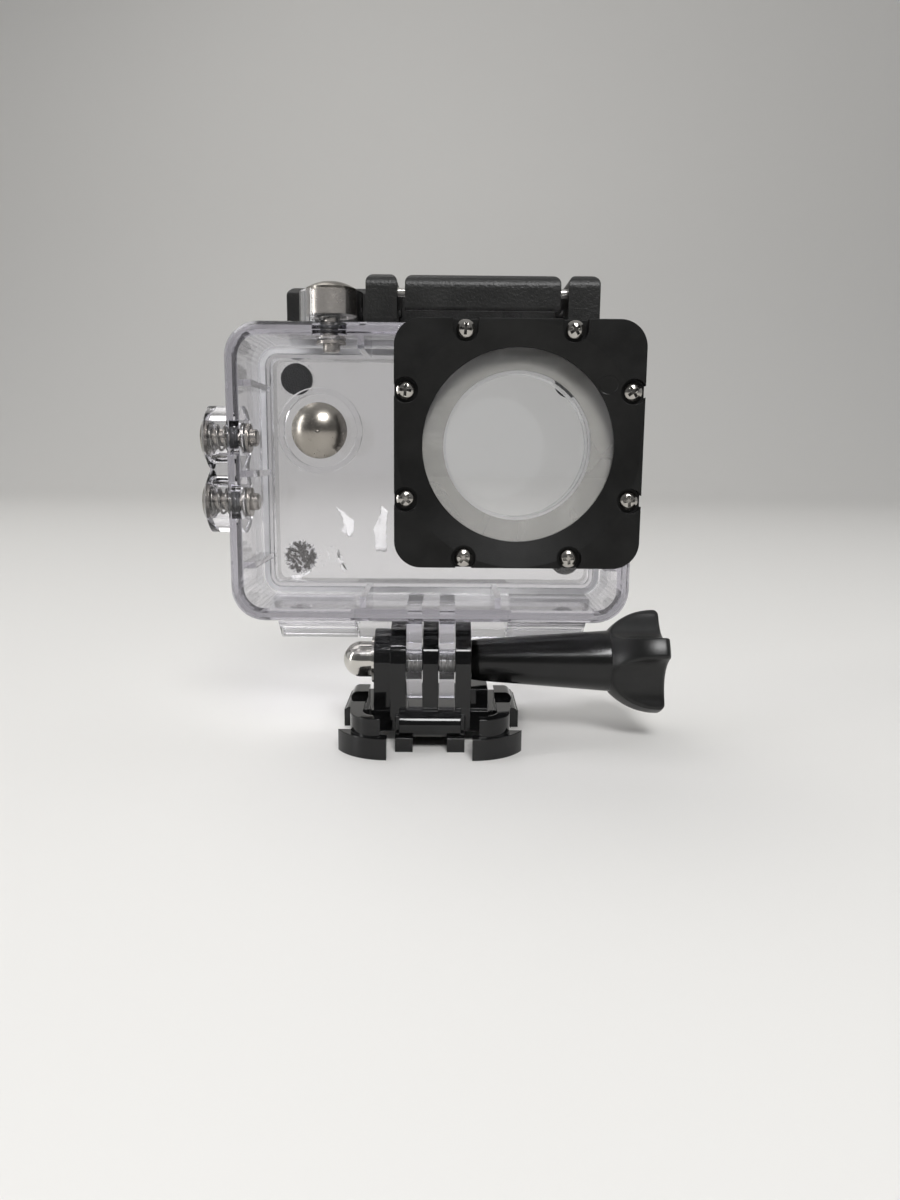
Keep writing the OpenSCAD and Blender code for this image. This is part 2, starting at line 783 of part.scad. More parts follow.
module latch_hook() {
  top_r = 1.6;
  yoke_w = ear_r1 - yoke_x0;
  color([0.13, 0.13, 0.13]) difference() {
    union() {
      for (x0 = [ear_l0, ear_r0])
        intersection() {
          along_x(x0, x0 + ear_w) ear_profile();
          translate([x0 + ear_w / 2, 0, latch_z - 10]) slab(bar_front - 1, 20) rrect(ear_w, 20, top_r);
        }
      intersection() {
        along_x(yoke_x0, ear_r1) yoke_profile();
        translate([yoke_x0 + yoke_w / 2, 0, yoke_top - 10]) slab(0, 20) rrect(yoke_w, 20, top_r);
      }
    }
    rod_x(ear_l0 + 1.2, ear_r1 - 1.2, link_y, link_z, link_r + pin_gap);
  }
}

// ---- buttons ----

module power_button() {
  color("silver") at_power() button(power_r, cap_gap, cap_gap + 0.5, 2.1, cap_gap + 0.6);
}

module power_spring() {
  color("gray") at_power() button_spring(cap_gap + 0.6);
}

module power_clip() {
  color("gray") at_power() clip();
}

module shutter_button() {
  color("silver") at_shutter() button(shutter_r, cap_gap, shutter_boss + 0.6, 1.3, shutter_boss - 0.8);
}

module shutter_spring() {
  color("gray") at_shutter() button_spring(shutter_boss - 0.8);
}

module shutter_clip() {
  color("gray") at_shutter() clip();
}

module side_button(s) {
  color("silver") at_side(s) button(side_r, side_boss - 1.6, side_boss - 0.3, 0.6, side_boss - 1.2);
}

module up_button() {
  side_button(1);
}

module up_spring() {
  color("gray") at_side(1) button_spring(side_boss - 1.2);
}

module up_clip() {
  color("gray") at_side(1) clip();
}

module down_button() {
  side_button(-1);
}

module down_spring() {
  color("gray") at_side(-1) button_spring(side_boss - 1.2);
}

module down_clip() {
  color("gray") at_side(-1) clip();
}

// ---- mount ----

module prong_profile() {
  translate([0, axis_z]) circle(finger_r);
  polygon([
    [-finger_r, axis_z], [-finger_r - 0.5, core_z1 - 1], [finger_r + 0.5, core_z1 - 1], [finger_r, axis_z]
  ]);
}

// curved wall in plan: a ring about the origin, of outer radius r and thickness t
module ring_wall(r, t, z0, z1) {
  translate([0, 0, z0]) difference() {
    cylinder(h = z1 - z0, r = r);
    translate([0, 0, -1]) cylinder(h = z1 - z0 + 2, r = r - t);
  }
}

// front end of a spring arm, a quarter of a ring that turns in towards the middle
module grip() {
  intersection() {
    translate([grip_x, grip_y, 0]) ring_wall(arm_x - grip_x, arm_t, arm_z0, arm_z1);
    translate([grip_x - 0.5, grip_y - rail_x, 0]) cube([rail_x, rail_x, arm_z1]);
  }
}

// finger tab below the grip, curving out past it
module finger_tab() {
  intersection() {
    translate([tab_x, tab_y, 0]) ring_wall(tab_r, tab_t, 0, tab_h);
    translate([tab_x0, tab_y1 - rail_x, 0]) cube([rail_x, rail_x, tab_h]);
  }
}

// plan of a spring arm, which spreads towards its root
module arm_plan() {
  polygon([
    [arm_x - arm_t, grip_y - eps], [arm_x, grip_y - eps], [root_x, root_y0 + eps], [root_x, root_y1],
    [root_x - root_w, root_y1], [root_x - root_w, root_y0 + eps]
  ]);
}

// section of an arm's root, outer top edge round
module root_section() {
  translate([root_x - root_w, 0]) {
    square([root_w - root_edge, arm_z1]);
    square([root_w, arm_z1 - root_edge]);
    translate([root_w - root_edge, arm_z1 - root_edge]) circle(root_edge);
  }
}

// spring arm with its root, grip and finger tab, and the shoulder beside the prongs, on the +X side
module buckle_side() {
  translate([0, 0, arm_z0]) linear_extrude(arm_z1 - arm_z0 - arm_dip) arm_plan();
  intersection() {
    translate([0, 0, arm_z0]) linear_extrude(arm_z1 - arm_z0) arm_plan();
    translate([0, grip_y - 1, 0]) cube([rail_x, arm_high, arm_z1]);
  }
  slab(root_y0, root_y1) root_section();
  grip();
  finger_tab();
  translate([core_x - 0.2, flank_y, core_z0])
    cube([shoulder_x - core_x + 0.2, flank_len, core_z1 - core_z0 + 0.2]);
  translate([stack_w / 2 - 0.1, shoulder_y, core_z0])
    cube([shoulder_x - stack_w / 2 - 0.2, shoulder_len, shoulder_z - core_z0]);
}

// plan of the tail that slides into a base, rear corners round
module tail_plan() {
  translate([-rail_x, rail_y0]) square([2 * rail_x, buckle_rear - tail_r - rail_y0]);
  translate([tail_r - rail_x, rail_y0]) square([2 * (rail_x - tail_r), buckle_rear - rail_y0]);
  for (s = [-1, 1]) translate([s * (rail_x - tail_r), buckle_rear - tail_r]) circle(tail_r);
}

// section of a rail, outer top edge round
module rail_section() {
  translate([rail_x - rail_t, 0]) {
    square([rail_t - rail_edge, rail_h]);
    square([rail_t, rail_h - rail_edge]);
    translate([rail_t - rail_edge, rail_h - rail_edge]) circle(rail_edge);
  }
}

module buckle_tail() {
  intersection() {
    linear_extrude(rail_h) tail_plan();
    union() {
      slab(rail_y0, buckle_rear - rail_short) rail_section();
      mirror([1, 0, 0]) slab(rail_y0, buckle_rear - rail_short) rail_section();
    }
  }
  translate([0, 0, plate_z0]) linear_extrude(plate_z1 - plate_z0) tail_plan();
}

module front_bar_profile() {
  translate([front_bar_y + front_bar_r, core_z0 + front_bar_r]) circle(front_bar_r);
  translate([front_bar_y + front_bar_r, core_z0])
    square([core_y0 + 1 - front_bar_y - front_bar_r, 2 * front_bar_r]);
}

module quick_release_buckle() {
  color([0.07, 0.07, 0.08]) difference() {
    union() {
      for (i = [-1, 0, 1])
        along_x(i * pitch - prong_t / 2, i * pitch + prong_t / 2) prong_profile();
      along_x(nut_x, -stack_w / 2 + 0.1) {
        translate([0, axis_z]) circle(boss_r);
        translate([-boss_r, core_z0 + 0.2]) square([2 * boss_r, axis_z - core_z0]);
      }
      translate([-core_x, core_y0, core_z0]) cube([2 * core_x, buckle_rear - core_y0, core_z1 - core_z0]);
      along_x(-front_bar_x, front_bar_x) front_bar_profile();
      translate([-core_x, -2, 0]) cube([2 * core_x, buckle_rear - 1, core_z0 + 0.2]);
      for (s = [-1, 1])
        translate([s * foot_x - foot_w / 2, front_bar_y, 0]) cube([foot_w, foot_len, core_z0 + 0.4]);
      buckle_tail();
      buckle_side();
      mirror([1, 0, 0]) buckle_side();
    }
    rod_x(-stack_w, stack_w, 0, axis_z, pivot_hole / 2);
    translate([nut_x - 1, 0, axis_z]) rotate([0, 90, 0])
      cylinder(h = boss_t + 1, r = (nut_af + nut_play) / 2 / cos(30), $fn = 6);
    translate([-rail_x - 1, buckle_rear - ramp_len, core_z1]) rotate([-ramp_angle, 0, 0])
      cube([2 * rail_x + 2, 2 * ramp_len, core_z1]);
  }
}

// half section of the nut's dome, from its flange out
module nut_dome_profile(len) {
  intersection() {
    square([nut_dome_r, len]);
    translate([0, len - nut_dome_r]) union() {
      circle(nut_dome_r);
      translate([0, -len]) square([nut_dome_r, len]);
    }
  }
}

module cap_nut() {
  color("gainsboro") difference() {
    union() {
      translate([nut_x - eps, 0, axis_z]) rotate([0, 90, 0])
        cylinder(h = boss_t - 0.1 + eps, r = nut_af / 2 / cos(30), $fn = 6);
      rod_x(nut_x - nut_flange, nut_x, 0, axis_z, nut_flange_r);
      translate([nut_x - nut_flange + eps, 0, axis_z]) rotate([0, -90, 0])
        rotate_extrude() nut_dome_profile(nut_len - nut_flange);
    }
    rod_x(nut_x - nut_len + nut_end_t, 0, 0, axis_z, bolt_r + pin_gap);
  }
}

// half section of the knob: one arc flares it out to a rim with a round end
module knob_profile() {
  straight = knob_len - knob_edge;
  intersection() {
    square([knob_r, straight]);
    translate([knob_r - flare_r, straight]) circle(flare_r, $fn = 96);
  }
  translate([0, straight - eps]) square([knob_r - knob_edge, knob_edge + eps]);
  intersection() {
    translate([knob_r - knob_edge, straight]) circle(knob_edge);
    translate([0, straight - eps]) square([knob_r + 1, knob_edge + 1]);
  }
}

module thumb_knob() {
  flute_c = knob_r + flute_r - flute_depth;
  color([0.1, 0.1, 0.1]) translate([stem_x0, 0, axis_z]) rotate([0, 90, 0]) difference() {
    union() {
      cylinder(h = stem_len + 0.1, r1 = stem_r0, r2 = stem_r1);
      translate([0, 0, stem_len]) difference() {
        rotate_extrude() knob_profile();
        for (a = [45, 135, 225, 315])
          rotate(a - knob_turn) translate([flute_c, 0, -1]) cylinder(h = knob_len + 2, r = flute_r);
      }
    }
    translate([0, 0, -1]) cylinder(h = bolt_in + 1, r = bolt_r);
  }
}

module thumb_bolt() {
  color("silver") rod_x(nut_x - nut_len + nut_end_t + 0.4, stem_x0 + bolt_in, 0, axis_z, bolt_r);
}

front_shell();
lens_window();
lens_gasket();
lens_bezel();
bezel_screws();
button_orings();
button_washers();
latch_pivot_pin();
rear_door();
door_seal();
door_pads();
pad_residue();
latch_lever();
latch_link_pin();
latch_hook();
power_button();
power_spring();
power_clip();
shutter_button();
shutter_spring();
shutter_clip();
up_button();
up_spring();
up_clip();
down_button();
down_spring();
down_clip();
quick_release_buckle();
cap_nut();
thumb_knob();
thumb_bolt();
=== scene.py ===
"""Looks of a clear waterproof camera case on its quick-release buckle.

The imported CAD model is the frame. This script gives every solid its finish, and adds the small pieces
whose shape is finer than the solids: the moulded knob, the bolt's thread, the springs, the torn foam,
the glue and the scraps of a blank label. Lengths are in metres; MM turns millimetres into metres.
"""
import math
import random

import bmesh
import bpy
from mathutils import Euler, Matrix, Vector, noise


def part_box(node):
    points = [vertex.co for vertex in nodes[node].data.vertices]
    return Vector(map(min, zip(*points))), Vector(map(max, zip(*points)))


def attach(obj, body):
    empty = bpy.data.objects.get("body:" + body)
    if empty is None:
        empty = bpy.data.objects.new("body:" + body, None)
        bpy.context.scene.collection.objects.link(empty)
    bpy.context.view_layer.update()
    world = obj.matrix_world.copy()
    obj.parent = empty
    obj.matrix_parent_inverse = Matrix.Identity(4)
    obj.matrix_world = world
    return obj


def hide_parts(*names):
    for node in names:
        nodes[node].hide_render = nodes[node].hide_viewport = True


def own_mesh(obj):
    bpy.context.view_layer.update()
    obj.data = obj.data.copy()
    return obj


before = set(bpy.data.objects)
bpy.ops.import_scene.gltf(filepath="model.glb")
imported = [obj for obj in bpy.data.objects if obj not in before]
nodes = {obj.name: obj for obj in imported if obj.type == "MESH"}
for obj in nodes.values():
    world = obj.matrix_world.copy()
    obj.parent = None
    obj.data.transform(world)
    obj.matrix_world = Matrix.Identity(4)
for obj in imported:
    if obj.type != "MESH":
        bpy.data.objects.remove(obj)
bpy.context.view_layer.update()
scene = bpy.context.scene
MM = 0.001
SEED = 7
random.seed(SEED)
noise.seed_set(SEED)


# ---------------------------------------------------------------- places read from the frame

def middle(node):
    """Middle of a node's box."""
    low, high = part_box(node)
    return (low + high) / 2


def size(node):
    """Width, depth and height of a node's box."""
    low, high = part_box(node)
    return high - low


AXIS_Z = middle("thumb_bolt").z
GRIP_LENGTH = 10.1 * MM
GRIP_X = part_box("thumb_knob")[1].x - GRIP_LENGTH
PANEL_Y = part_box("door_pads")[1].y


# ---------------------------------------------------------------- node helpers

class Shader:
    """A material's node tree, with short calls to add and join nodes."""

    def __init__(self, name):
        self.material = bpy.data.materials.new(name)
        self.material.use_nodes = True
        self.tree = self.material.node_tree
        self.tree.nodes.clear()
        self.output = self.add("ShaderNodeOutputMaterial")
        self.coords = self.add("ShaderNodeTexCoord")

    def add(self, kind, **values):
        node = self.tree.nodes.new(kind)
        for key, value in values.items():
            setattr(node, key, value)
        return node

    def join(self, start, end):
        self.tree.links.new(start, end)

    def principled(self, colour, roughness, **values):
        node = self.add("ShaderNodeBsdfPrincipled")
        node.inputs["Base Color"].default_value = (*colour, 1)
        node.inputs["Roughness"].default_value = roughness
        for key, value in values.items():
            node.inputs[key.replace("_", " ")].default_value = value
        return node

    def noise(self, scale, detail=3, rough=0.5, distortion=0.0, stretch=None):
        """Noise whose scale is in features per metre."""
        node = self.add("ShaderNodeTexNoise")
        node.inputs["Scale"].default_value = scale
        node.inputs["Detail"].default_value = detail
        node.inputs["Roughness"].default_value = rough
        node.inputs["Distortion"].default_value = distortion
        source = self.coords.outputs["Object"]
        if stretch:
            mapping = self.add("ShaderNodeMapping")
            mapping.inputs["Scale"].default_value = stretch
            self.join(source, mapping.inputs["Vector"])
            source = mapping.outputs["Vector"]
        self.join(source, node.inputs["Vector"])
        return node.outputs["Fac"]

    def ramp(self, source, stops):
        """Colour ramp; stops are (position, grey or colour)."""
        node = self.add("ShaderNodeValToRGB")
        elements = node.color_ramp.elements
        while len(elements) < len(stops):
            elements.new(0.5)
        for element, (position, value) in zip(elements, stops):
            element.position = position
            element.color = (value, value, value, 1) if isinstance(value, (int, float)) else (*value, 1)
        self.join(source, node.inputs["Fac"])
        return node.outputs["Color"]

    def spread(self, source, low, high):
        """Maps a 0..1 value to low..high."""
        node = self.add("ShaderNodeMapRange")
        node.inputs["To Min"].default_value = low
        node.inputs["To Max"].default_value = high
        self.join(source, node.inputs["Value"])
        return node.outputs["Result"]

    def maths(self, operation, a, b):
        node = self.add("ShaderNodeMath", operation=operation)
        for socket, value in zip(node.inputs, (a, b)):
            if isinstance(value, (int, float)):
                socket.default_value = value
            else:
                self.join(value, socket)
        return node.outputs["Value"]

    def blend(self, fac, a, b):
        """Mixes two colours."""
        node = self.add("ShaderNodeMix", data_type="RGBA")
        self.join(fac, node.inputs["Factor"])
        for socket, value in ((node.inputs[6], a), (node.inputs[7], b)):
            if isinstance(value, tuple):
                socket.default_value = (*value, 1)
            else:
                self.join(value, socket)
        return node.outputs[2]

    def coordinate(self, letter):
        """One object coordinate, in metres."""
        node = self.add("ShaderNodeSeparateXYZ")
        self.join(self.coords.outputs["Object"], node.inputs["Vector"])
        return node.outputs[letter]

    def distance(self, centre, along):
        """Distance from a point, over the axes whose entry in along is 1."""
        mapping = self.add("ShaderNodeMapping")
        mapping.inputs["Scale"].default_value = along
        mapping.inputs["Location"].default_value = tuple(-c * a for c, a in zip(centre, along))
        self.join(self.coords.outputs["Object"], mapping.inputs["Vector"])
        node = self.add("ShaderNodeVectorMath", operation="LENGTH")
        self.join(mapping.outputs["Vector"], node.inputs[0])
        return node.outputs["Value"]

    def step_up(self, value, start, end):
        """0 below start, 1 above end, smooth between."""
        node = self.add("ShaderNodeMapRange", interpolation_type="SMOOTHSTEP")
        node.inputs["From Min"].default_value = start
        node.inputs["From Max"].default_value = end
        self.join(value, node.inputs["Value"])
        return node.outputs["Result"]

    def step_down(self, value, start, end):
        """1 below start, 0 above end, smooth between."""
        return self.maths("SUBTRACT", 1.0, self.step_up(value, start, end))

    def between(self, fac, a, b):
        """Mixes two values."""
        node = self.add("ShaderNodeMix", data_type="FLOAT")
        self.join(fac, node.inputs["Factor"])
        for socket, value in ((node.inputs[2], a), (node.inputs[3], b)):
            if isinstance(value, (int, float)):
                socket.default_value = value
            else:
                self.join(value, socket)
        return node.outputs[0]

    def bump(self, height, distance, strength, edge=0.0, under=None):
        """Bump of a height map, over edges rounded by the radius edge or over the bump under."""
        node = self.add("ShaderNodeBump")
        node.inputs["Distance"].default_value = distance
        node.inputs["Strength"].default_value = strength
        self.join(height, node.inputs["Height"])
        if under:
            self.join(under, node.inputs["Normal"])
        elif edge:
            bevel = self.add("ShaderNodeBevel", samples=6)
            bevel.inputs["Radius"].default_value = edge
            self.join(bevel.outputs["Normal"], node.inputs["Normal"])
        return node.outputs["Normal"]

    def finish(self, surface, volume=None):
        self.join(surface, self.output.inputs["Surface"])
        if volume:
            self.join(volume, self.output.inputs["Volume"])
        return self.material

    def lets_light(self, shader, tint):
        """The shader, with lamps' rays passing through it tinted."""
        path = self.add("ShaderNodeLightPath")
        clear = self.add("ShaderNodeBsdfTransparent")
        clear.inputs["Color"].default_value = (*tint, 1)
        mix = self.add("ShaderNodeMixShader")
        self.join(path.outputs["Is Shadow Ray"], mix.inputs["Fac"])
        self.join(shader, mix.inputs[1])
        self.join(clear.outputs["BSDF"], mix.inputs[2])
        return mix.outputs["Shader"]


# ---------------------------------------------------------------- materials

def clear_plastic(name, tint, depth_colour, density):
    """Polished polycarbonate: greys with depth, with faint smears and hair scratches."""
    polish, haze = 0.03, 0.05
    s = Shader(name)
    bsdf = s.principled(tint, polish, Transmission_Weight=1.0, IOR=1.5)
    smears = s.noise(90, detail=4, rough=0.6, distortion=0.4)
    smeared = s.ramp(smears, [(0.5, 0.0), (0.75, 1.0)])
    s.join(s.spread(smeared, polish, polish + haze), bsdf.inputs["Roughness"])
    flow = s.noise(60, detail=1)
    scratches = s.noise(260, detail=2, distortion=1.0, stretch=(1.0, 1.0, 14.0))
    height = s.maths("ADD", flow, s.maths("MULTIPLY", scratches, 0.05))
    s.join(s.bump(height, 0.05 * MM, 0.5), bsdf.inputs["Normal"])
    volume = s.add("ShaderNodeVolumeAbsorption")
    volume.inputs["Color"].default_value = (*depth_colour, 1)
    volume.inputs["Density"].default_value = density
    return s.finish(s.lets_light(bsdf.outputs["BSDF"], (0.95, 0.95, 0.96)), volume.outputs["Volume"])


def flat_glass(name):
    """Thin flat window with a greenish edge and a few specks of dust."""
    s = Shader(name)
    bsdf = s.principled((0.97, 0.98, 0.98), 0.01, Transmission_Weight=1.0, IOR=1.45)
    dust = s.ramp(s.noise(700, detail=2), [(0.7, 0.0), (0.8, 1.0)])
    s.join(s.spread(dust, 0.01, 0.25), bsdf.inputs["Roughness"])
    return s.finish(s.lets_light(bsdf.outputs["BSDF"], (0.97, 0.97, 0.97)))


def moulded_black(name, colour, roughness, grain, grain_depth, edge, gloss, zone=None, mark=None):
    """Black moulded plastic: fine spark-erosion grain, a soft mottle and edges rounded by edge.

    zone gives (a 0..1 mask, a roughness), and the roughness holds where the mask is 1.
    mark gives the height map of a moulding mark.
    """
    s = Shader(name)
    bsdf = s.principled(colour, roughness, IOR=1.5, Specular_IOR_Level=gloss)
    mottle = s.noise(160, detail=4, rough=0.6)
    bright = tuple(c * 1.3 + 0.004 for c in colour)
    tone = s.blend(s.ramp(mottle, [(0.35, 0.0), (0.7, 1.0)]), colour, bright)
    shine = s.spread(mottle, roughness * 0.85, roughness * 1.2)
    if zone:
        mask, other = zone(s)
        shine = s.between(mask, shine, other)
    s.join(tone, bsdf.inputs["Base Color"])
    s.join(shine, bsdf.inputs["Roughness"])
    fine = s.noise(grain, detail=2, rough=0.6)
    moulded = s.bump(mark(s), GATE_DEPTH, 1.0, edge) if mark else None
    s.join(s.bump(fine, grain_depth, 0.6, edge, moulded), bsdf.inputs["Normal"])
    return s.finish(bsdf.outputs["BSDF"])


DISH_R = 19 * MM
DISH_ROUGHNESS = 0.38
GRIP_ROUGHNESS = 0.3
SOFT_EDGE = 0.1 * MM
GATE_DEPTH = 0.12 * MM
GATE_R = 1.4 * MM
GATE_PLACE = Vector((13.75, 0, 9.45)) * MM


def gate_mark(s):
    """The faint round gate mark in the bezel's dish, at GATE_PLACE from the lens axis."""
    off = s.distance(middle("lens_window") + GATE_PLACE, (1, 0, 1))
    return s.step_up(off, GATE_R - GATE_DEPTH, GATE_R + GATE_DEPTH)


def dish_zone(s):
    """The smoother dish of the bezel, round the lens axis."""
    across = s.distance(middle("lens_window"), (1, 0, 1))
    return s.step_down(across, DISH_R - SOFT_EDGE, DISH_R + SOFT_EDGE), DISH_ROUGHNESS


def grip_zone(s):
    """The matt grip of the thumb screw, beyond its smooth stem."""
    return s.step_up(s.coordinate("X"), GRIP_X - SOFT_EDGE, GRIP_X + SOFT_EDGE), GRIP_ROUGHNESS


def metal(name, colour, roughness, grain, grain_depth, edge=0.05 * MM, crevice=0.0):
    """Metal with fine tool marks, a soft cloud of tarnish and edges rounded by edge.

    crevice is how near a facing wall has to be for the base colour to be darkened there, as painted shade.
    """
    s = Shader(name)
    bsdf = s.principled(colour, roughness, Metallic=1.0)
    marks = s.noise(grain, rough=0.65)
    dark = tuple(c * 0.82 for c in colour)
    tone = s.blend(s.noise(260), colour, dark)
    if crevice:
        ambient_occlusion = s.add("ShaderNodeAmbientOcclusion", samples=6, only_local=True)
        ambient_occlusion.inputs["Distance"].default_value = crevice
        # Painted shade: the base colour falls towards near black where ambient occlusion finds a facing wall
        # within crevice.
        painted_recess_shade = tuple(c * 0.12 for c in colour)
        tone = s.blend(s.step_down(ambient_occlusion.outputs["AO"], 0.35, 0.8), tone, painted_recess_shade)
    s.join(tone, bsdf.inputs["Base Color"])
    s.join(s.spread(marks, roughness * 0.7, roughness * 1.3), bsdf.inputs["Roughness"])
    s.join(s.bump(marks, grain_depth, 0.5, edge), bsdf.inputs["Normal"])
    return s.finish(bsdf.outputs["BSDF"])


def rubber(name, colour, roughness, see_through=0.0):
    """Soft rubber or silicone, milky where see_through is above 0."""
    s = Shader(name)
    bsdf = s.principled(colour, roughness, IOR=1.42, Transmission_Weight=see_through)
    cloud = s.noise(220)
    dark = tuple(c * 0.88 for c in colour)
    s.join(s.blend(cloud, colour, dark), bsdf.inputs["Base Color"])
    s.join(s.spread(cloud, roughness * 0.9, roughness * 1.15), bsdf.inputs["Roughness"])
    s.join(s.bump(s.noise(900, detail=2), 0.02 * MM, 0.5, edge=0.1 * MM), bsdf.inputs["Normal"])
    shader = bsdf.outputs["BSDF"]
    if see_through:
        shader = s.lets_light(shader, tuple(c * see_through for c in colour))
    return s.finish(shader)


CELLS_PER_METRE = 3800


def foam(name, colour):
    """Closed-cell foam: small cut cells in a dull black sheet."""
    s = Shader(name)
    bsdf = s.principled(colour, 0.95, Sheen_Weight=0.05, Specular_IOR_Level=0.12)
    cells = s.add("ShaderNodeTexVoronoi")
    cells.inputs["Scale"].default_value = CELLS_PER_METRE
    s.join(s.coords.outputs["Object"], cells.inputs["Vector"])
    # Painted shade: each cell is darker in its middle, where the bump sinks into a pit, and lighter towards
    # its raised rim.
    dark, bright = tuple(c * 0.5 for c in colour), tuple(c * 1.6 for c in colour)
    tone = s.ramp(cells.outputs["Distance"], [(0.0, dark), (0.6, bright)])
    s.join(tone, bsdf.inputs["Base Color"])
    s.join(s.bump(cells.outputs["Distance"], 0.15 * MM, 0.8), bsdf.inputs["Normal"])
    return s.finish(bsdf.outputs["BSDF"])


def film(name, colour, thin, thick, patches=1400, detail=4):
    """Milky film that grows from clear to solid between thin and thick on a cloudy noise."""
    s = Shader(name)
    bsdf = s.principled(colour, 0.5)
    cloud = s.noise(patches, detail=detail, rough=0.7, distortion=0.6)
    s.join(s.spread(cloud, 0.4, 0.7), bsdf.inputs["Roughness"])
    bare = s.add("ShaderNodeBsdfTransparent")
    mix = s.add("ShaderNodeMixShader")
    s.join(s.step_up(cloud, thin, thick), mix.inputs["Fac"])
    s.join(bare.outputs["BSDF"], mix.inputs[1])
    s.join(bsdf.outputs["BSDF"], mix.inputs[2])
    return s.finish(mix.outputs["Shader"])


def paper(name):
    """Torn white label stock, fibrous."""
    s = Shader(name)
    bsdf = s.principled((0.9, 0.89, 0.87), 0.8)
    fibre = s.noise(1800, detail=4, rough=0.7, stretch=(1, 1, 3))
    s.join(s.ramp(fibre, [(0.3, (0.8, 0.79, 0.76)), (0.7, (0.93, 0.92, 0.9))]), bsdf.inputs["Base Color"])
    s.join(s.bump(fibre, 0.05 * MM, 0.6), bsdf.inputs["Normal"])
    return s.finish(bsdf.outputs["BSDF"])


def stage_paint(colour, roughness):
    """Matt paint of the floor and backdrop."""
    s = Shader("floor_paint")
    bsdf = s.principled(colour, roughness)
    s.join(s.spread(s.noise(6, detail=2), roughness * 0.95, roughness * 1.05), bsdf.inputs["Roughness"])
    return s.finish(bsdf.outputs["BSDF"])


def make_materials():
    """Every finish by its short name; the material's own name says what it is."""
    return {
        "clear": clear_plastic("clear_polycarbonate", (0.968, 0.966, 0.975), (0.75, 0.74, 0.785), 80),
        "window": flat_glass("window_glass"),
        "gasket": film("grey_gasket", (0.31, 0.3, 0.28), -1.6, 2.4, patches=70, detail=1),
        "matte": moulded_black("black_grained", (0.008, 0.0079, 0.0075), 0.38, grain=2100,
                               grain_depth=0.13 * MM, edge=0.3 * MM, gloss=0.35),
        "bezel": moulded_black("black_bezel", (0.0038, 0.0038, 0.0036), 0.42, grain=5200,
                               grain_depth=0.03 * MM, edge=0.2 * MM, gloss=0.2, zone=dish_zone,
                               mark=gate_mark),
        "gloss": moulded_black("black_acetal", (0.003, 0.003, 0.0032), 0.06, grain=900,
                               grain_depth=0.003 * MM, edge=0.25 * MM, gloss=0.42),
        "knob": moulded_black("black_knob", (0.006, 0.006, 0.0058), 0.19, grain=4200,
                              grain_depth=0.03 * MM, edge=0.0, gloss=0.4, zone=grip_zone),
        "steel": metal("satin_steel", (0.47, 0.45, 0.42), 0.17, 900, 0.01 * MM, crevice=0.6 * MM),
        "turned": metal("turned_steel", (0.36, 0.335, 0.30), 0.25, 1600, 0.005 * MM, crevice=0.6 * MM),
        "bolt": metal("bolt_steel", (0.45, 0.44, 0.42), 0.3, 700, 0.01 * MM),
        "nut": metal("bright_nut", (0.66, 0.64, 0.60), 0.12, 900, 0.008 * MM),
        "wire": metal("spring_wire", (0.28, 0.27, 0.25), 0.25, 1500, 0.005 * MM, edge=0.0),
        "oring": rubber("black_nitrile", (0.025, 0.025, 0.025), 0.5),
        "silicone": rubber("clear_silicone", (0.85, 0.85, 0.84), 0.35, see_through=0.7),
        "foam": foam("black_foam", (0.008, 0.0078, 0.0075)),
        "torn": foam("torn_foam", (0.05, 0.047, 0.044)),
        "glue": film("dried_glue", (0.9, 0.89, 0.86), 0.2, 0.55),
        "haze": film("glue_haze", (0.88, 0.87, 0.85), 0.5, 0.95),
        "film": film("residue_film", (0.4, 0.395, 0.39), 0.25, 0.8),
        "paper": paper("label_paper"),
    }


FINISH = {
    "front_shell": "clear", "rear_door": "clear", "lens_window": "window", "lens_gasket": "gasket",
    "lens_bezel": "bezel", "bezel_screws": "steel", "button_orings": "oring", "button_washers": "turned",
    "latch_pivot_pin": "bolt", "latch_link_pin": "bolt", "door_seal": "silicone", "door_pads": "foam",
    "pad_residue": "torn", "latch_lever": "matte", "latch_hook": "matte", "quick_release_buckle": "gloss",
    "cap_nut": "nut", "thumb_knob": "knob", "thumb_bolt": "bolt",
}


def dress_nodes(materials):
    """Gives every CAD node its material; what the table leaves out is turned steel or spring wire."""
    for name, node in nodes.items():
        finish = FINISH.get(name, "wire" if name.endswith("spring") else "turned")
        node.data.materials.clear()
        node.data.materials.append(materials[finish])


# ---------------------------------------------------------------- mesh helpers

def new_mesh(name, vertices, faces, material):
    """New smooth-shaded piece from vertices and faces, its normals turned outward."""
    mesh = bpy.data.meshes.new(name)
    mesh.from_pydata(vertices, [], faces)
    mesh.update()
    bm = bmesh.new()
    bm.from_mesh(mesh)
    bmesh.ops.recalc_face_normals(bm, faces=bm.faces)
    bm.to_mesh(mesh)
    bm.free()
    for polygon in mesh.polygons:
        polygon.use_smooth = True
    mesh.materials.append(material)
    piece = bpy.data.objects.new(name, mesh)
    scene.collection.objects.link(piece)
    return piece


def ring_faces(rings, sides):
    """Quads between rings of equal count, with the two ends capped."""
    faces = []
    for i in range(rings - 1):
        a, b = i * sides, (i + 1) * sides
        for j in range(sides):
            k = (j + 1) % sides
            faces.append((a + j, a + k, b + k, b + j))
    faces.append(tuple(range(sides)))
    faces.append(tuple((rings - 1) * sides + j for j in reversed(range(sides))))
    return faces


def soft_min(a, b, width):
    """Smaller of two lengths, with a round blend of the given width."""
    share = max(0.0, min(1.0, 0.5 + 0.5 * (b - a) / width))
    return b * (1 - share) + a * share - width * share * (1 - share)


# ---------------------------------------------------------------- thumb screw

KNOB_SIDES = 216
FLARE_R = 12.0 * MM
FLUTE_R = 8.0 * MM
FLUTE_DEPTH = 3.9 * MM
END_EDGE = 1.0 * MM
CREASE = 0.4 * MM
LOBES = 4
KNOB_TURN = math.radians(28)


